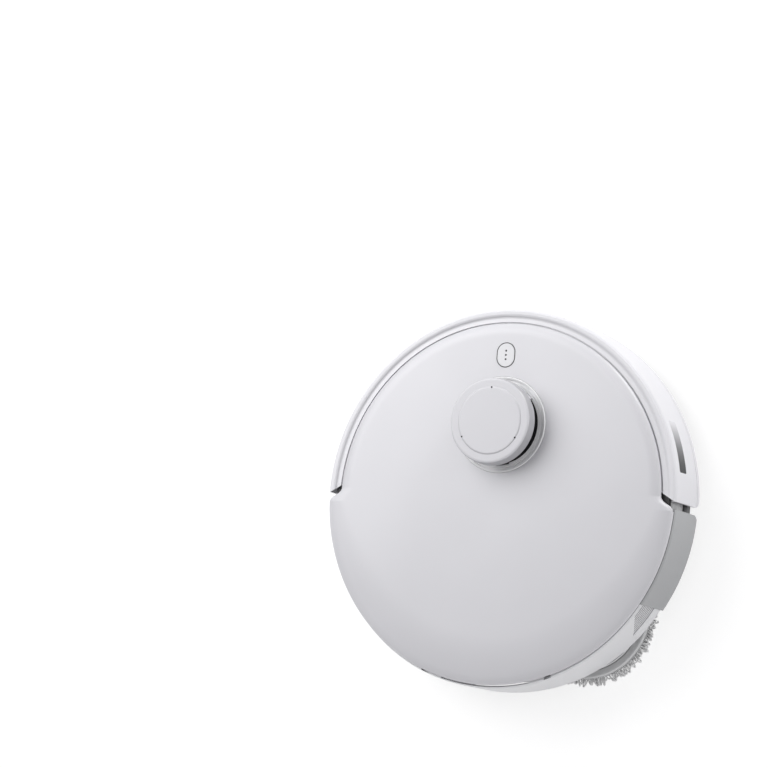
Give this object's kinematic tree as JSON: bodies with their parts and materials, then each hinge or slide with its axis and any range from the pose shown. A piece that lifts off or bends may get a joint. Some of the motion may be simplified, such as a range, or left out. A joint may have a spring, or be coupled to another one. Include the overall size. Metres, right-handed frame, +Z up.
{
  "type": "robot vacuum",
  "caption": "Round robot vacuum and mop: laser turret, lift-off cover, sprung bumper, drive wheels, brushes and a swing-out pair of spinning mops.",
  "frame": {"origin": "centre of the body's outline, on the floor that the wheels, caster and mops stand on", "axes": "+Z up through the cover and the turret, -Y to the front with the bumper, -X to the robot's right side, where the mop swings out"},
  "size_m": [0.3544, 0.3538, 0.101],
  "materials": {
    "chassis_plastic": "fine texture",
    "deck_plastic": "matte",
    "cover_plastic": "satin",
    "button_plastic": "satin",
    "bumper_plastic": "satin",
    "black_window": "high gloss",
    "black_rubber": "matte",
    "shell_plastic": "satin",
    "side_plastic": "satin",
    "turret_plastic": "satin",
    "cap_plastic": "satin",
    "dark_plastic": "matte",
    "lens_glass": "polished",
    "motor_metal": "plain",
    "bin_plastic": "tinted",
    "filter_paper": "pleated",
    "battery_wrap": "film",
    "circuit_board": "lacquered",
    "tank_plastic": "frosted",
    "pin_metal": "turned",
    "brush_rubber": "matte",
    "bristle": "fibres",
    "roller_plastic": "matte",
    "contact_metal": "polished",
    "hub_plastic": "matte",
    "tyre_rubber": "matte",
    "spring_steel": "drawn wire",
    "plate_plastic": "matte",
    "mop_fibre": "looped pile"
  },
  "bodies": {
    "body": {"base_shell": "chassis_plastic", "deck": "deck_plastic", "bumper_buffers": "black_rubber", "rear_wall": "shell_plastic", "exhaust_grille": "shell_plastic", "side_panel_left": "side_plastic", "side_panel_right": "side_plastic", "turret_base": "turret_plastic", "lidar_motor": "motor_metal", "battery": "battery_wrap", "mainboard": "circuit_board", "suction_fan": "dark_plastic", "water_tank": "tank_plastic", "brush_chamber": "dark_plastic", "brush_bearings": "pin_metal", "brush_guard": "dark_plastic", "brush_gearbox": "dark_plastic", "side_brush_motor": "motor_metal", "suspension_pins": "pin_metal", "mop_bay": "chassis_plastic", "caster_socket": "chassis_plastic", "mop_drive_left": "dark_plastic", "underside_screws": "pin_metal", "cliff_sensors": "black_window", "charge_contacts": "contact_metal", "wheel_housing_left": "chassis_plastic", "wheel_housing_right": "chassis_plastic"},
    "bumper": {"bumper": "bumper_plastic", "bumper_side_window": "black_window", "bumper_front_window": "black_window"},
    "button": {"start_button": "button_plastic"},
    "turret_cap": {"turret_cap": "cap_plastic"},
    "lidar": {"lidar_rotor": "dark_plastic", "lidar_lenses": "lens_glass"},
    "cover": {"top_cover": "cover_plastic"},
    "dust_bin": {"dust_bin": "bin_plastic", "dust_bin_lid": "dark_plastic", "dust_filter": "filter_paper"},
    "main_brush": {"main_brush": "brush_rubber"},
    "side_brush": {"side_brush_hub": "dark_plastic", "side_brush_tufts": "bristle"},
    "suspension_left": {"wheel_arm_left": "dark_plastic", "wheel_spring_left": "spring_steel"},
    "suspension_right": {"wheel_arm_right": "dark_plastic", "wheel_spring_right": "spring_steel"},
    "wheel_left": {"wheel_hub_left": "hub_plastic", "wheel_tyre_left": "tyre_rubber"},
    "wheel_right": {"wheel_hub_right": "hub_plastic", "wheel_tyre_right": "tyre_rubber"},
    "caster_swivel": {"caster_fork": "dark_plastic", "caster_axle": "pin_metal"},
    "caster_wheel": {"caster_roller": "roller_plastic"},
    "mop_arm": {"mop_arm_right": "dark_plastic"},
    "mop_carrier_right": {"mop_sleeve_right": "pin_metal"},
    "mop_carrier_left": {"mop_sleeve_left": "pin_metal"},
    "mop_right": {"mop_plate_right": "plate_plastic", "mop_pad_right": "mop_fibre"},
    "mop_left": {"mop_plate_left": "plate_plastic", "mop_pad_left": "mop_fibre"}
  },
  "joints": [
    {"name": "bumper_press", "type": "slide", "parent": "body", "child": "bumper", "axis": [0, 1, 0], "range_m": [0, 0.004], "stiffness_N_per_m": 900, "springref_m": -0.001},
    {"name": "start_button_press", "type": "slide", "parent": "body", "child": "button", "axis": [0, 0, -1], "range_m": [0, 0.0008], "stiffness_N_per_m": 900, "springref_m": -0.0008},
    {"name": "turret_cap_press", "type": "slide", "parent": "body", "child": "turret_cap", "axis": [0, 0, -1], "range_m": [0, 0.0015], "stiffness_N_per_m": 1500, "springref_m": -0.001},
    {"name": "lidar_spin", "type": "hinge", "parent": "body", "child": "lidar", "pos_m": [0, -0.066, 0.08], "axis": [0, 0, 1], "continuous": true},
    {"name": "cover_lift", "type": "slide", "parent": "body", "child": "cover", "axis": [0, 0, 1], "range_m": [0, 0.1]},
    {"name": "dust_bin_lift", "type": "slide", "parent": "body", "child": "dust_bin", "axis": [0, 0, 1], "range_m": [0, 0.05]},
    {"name": "main_brush_spin", "type": "hinge", "parent": "body", "child": "main_brush", "pos_m": [0, -0.064, 0.0205], "axis": [1, 0, 0], "continuous": true},
    {"name": "side_brush_spin", "type": "hinge", "parent": "body", "child": "side_brush", "pos_m": [-0.115, -0.099, 0.01], "axis": [0, 0, 1], "continuous": true},
    {"name": "suspension_left", "type": "hinge", "parent": "body", "child": "suspension_left", "pos_m": [0.115, -0.03, 0.044], "axis": [-1, 0, 0], "range_deg": [0, 14], "stiffness_Nm_per_rad": 0.35, "springref_deg": 42.97, "deforming": ["wheel_spring_left"]},
    {"name": "suspension_right", "type": "hinge", "parent": "body", "child": "suspension_right", "pos_m": [-0.115, -0.03, 0.044], "axis": [-1, 0, 0], "range_deg": [0, 14], "stiffness_Nm_per_rad": 0.35, "springref_deg": 42.97, "deforming": ["wheel_spring_right"]},
    {"name": "wheel_spin_left", "type": "hinge", "parent": "suspension_left", "child": "wheel_left", "pos_m": [0.115, 0, 0.0325], "axis": [1, 0, 0], "continuous": true},
    {"name": "wheel_spin_right", "type": "hinge", "parent": "suspension_right", "child": "wheel_right", "pos_m": [-0.115, 0, 0.0325], "axis": [1, 0, 0], "continuous": true},
    {"name": "caster_turn", "type": "hinge", "parent": "body", "child": "caster_swivel", "pos_m": [0, -0.13, 0.02], "axis": [0, 0, 1], "continuous": true},
    {"name": "caster_roll", "type": "hinge", "parent": "caster_swivel", "child": "caster_wheel", "pos_m": [0, -0.126, 0.012], "axis": [1, 0, 0], "continuous": true},
    {"name": "mop_swing", "type": "hinge", "parent": "body", "child": "mop_arm", "pos_m": [-0.0312, 0.1177, 0.028], "axis": [0, 0, 1], "range_deg": [0, 10.1]},
    {"name": "mop_lift_right", "type": "slide", "parent": "mop_arm", "child": "mop_carrier_right", "axis": [0, 0, 1], "range_m": [0, 0.008]},
    {"name": "mop_spin_right", "type": "hinge", "parent": "mop_carrier_right", "child": "mop_right", "pos_m": [-0.069, 0.097, 0.006], "axis": [0, 0, 1], "continuous": true},
    {"name": "mop_lift_left", "type": "slide", "parent": "body", "child": "mop_carrier_left", "axis": [0, 0, 1], "range_m": [0, 0.008]},
    {"name": "mop_spin_left", "type": "hinge", "parent": "mop_carrier_left", "child": "mop_left", "pos_m": [0.0648, 0.0907, 0.006], "axis": [0, 0, 1], "continuous": true}
  ],
  "couplings": [
    {"joint": "dust_bin_lift", "follows": "cover_lift", "ratio": 0.5},
    {"joint": "mop_lift_left", "follows": "mop_lift_right", "ratio": 1},
    {"joint": "mop_spin_left", "follows": "mop_spin_right", "ratio": -1}
  ]
}
